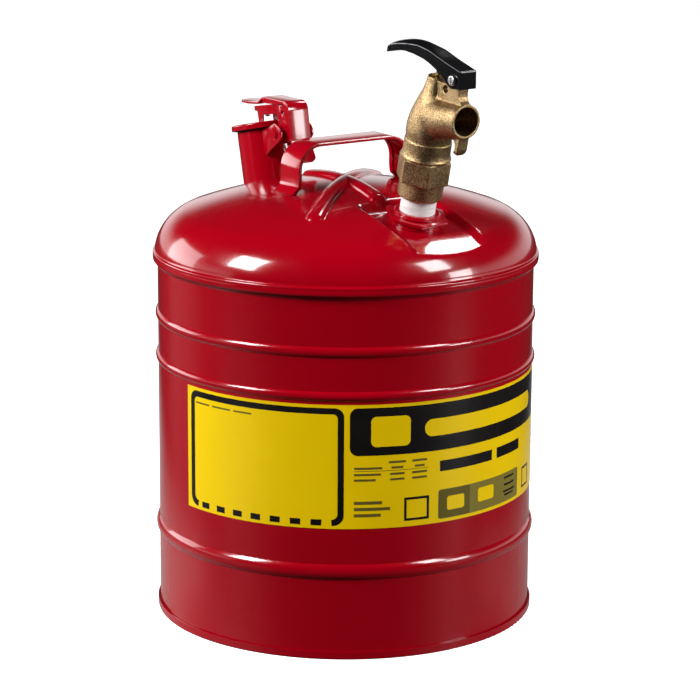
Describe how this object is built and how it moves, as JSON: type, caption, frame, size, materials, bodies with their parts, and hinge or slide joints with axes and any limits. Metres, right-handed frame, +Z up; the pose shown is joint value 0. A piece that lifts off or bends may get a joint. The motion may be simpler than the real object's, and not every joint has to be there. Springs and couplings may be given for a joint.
{
  "type": "safety gas can",
  "caption": "Round beaded steel fuel safety can with a domed top, strap carry handle, spring-closed filler cap on a leaning neck and a lever-operated brass dispensing faucet.",
  "frame": {"origin": "on the can's axis, in the plane of the ring it stands on", "axes": "+Z up along the drum's axis; the faucet leans and pours towards -Y; the filler neck leans towards +Y; the carry handle runs along X"},
  "size_m": [0.2984, 0.3026, 0.4564],
  "materials": {
    "red_enamel": "gloss baked enamel on sheet steel",
    "label": "printed vinyl, gloss",
    "steel_mesh": "perforated steel",
    "zinc_steel": "zinc plated",
    "spring_steel": "drawn spring wire",
    "black_rubber": "moulded fuel-proof rubber",
    "cast_brass": "sand cast, tumbled",
    "turned_brass": "turned",
    "white_tape": "thread seal tape",
    "black_enamel": "gloss black enamel on a casting"
  },
  "bodies": {
    "can": {"body_shell": "red_enamel", "bottom_pan": "red_enamel", "top_dome": "red_enamel", "side_label": "label", "carry_handle": "red_enamel", "filler_neck": "red_enamel", "neck_flame_arrester": "steel_mesh", "hinge_bracket": "red_enamel", "hinge_pin": "red_enamel", "closing_spring": "spring_steel", "faucet_boss": "red_enamel", "faucet_body": "cast_brass", "thread_tape": "white_tape", "faucet_flame_arrester": "steel_mesh", "spring_retainer": "cast_brass", "valve_spring": "spring_steel", "stem_packing": "white_tape", "gland_nut": "turned_brass", "lever_screw": "zinc_steel", "lever_nut": "zinc_steel"},
    "cap_arm": {"cap_disc": "red_enamel", "cap_gasket": "black_rubber", "yoke_stud": "zinc_steel", "cap_yoke": "red_enamel", "cap_lever": "red_enamel"},
    "lever": {"faucet_lever": "black_enamel"},
    "valve": {"valve_stem": "turned_brass", "valve_disc": "black_rubber"}
  },
  "joints": [
    {"name": "cap_hinge", "type": "hinge", "parent": "can", "child": "cap_arm", "pos_m": [0, 0.0757, 0.3645], "axis": [1, 0, 0], "range_deg": [0, 50], "stiffness_Nm_per_rad": 0.9, "springref_deg": -80.21, "deforming": ["closing_spring"]},
    {"name": "lever_hinge", "type": "hinge", "parent": "can", "child": "lever", "pos_m": [0, -0.14461, 0.43266], "axis": [-1, 0, 0], "range_deg": [0, 10], "stiffness_Nm_per_rad": 1.5, "springref_deg": -17.19},
    {"name": "valve_slide", "type": "slide", "parent": "can", "child": "valve", "axis": [0, 0.225, -0.9744], "range_m": [0, 0.0048], "deforming": ["valve_spring"]}
  ],
  "couplings": [
    {"joint": "valve_slide", "follows": "lever_hinge", "m_per_rad": 0.0274}
  ]
}
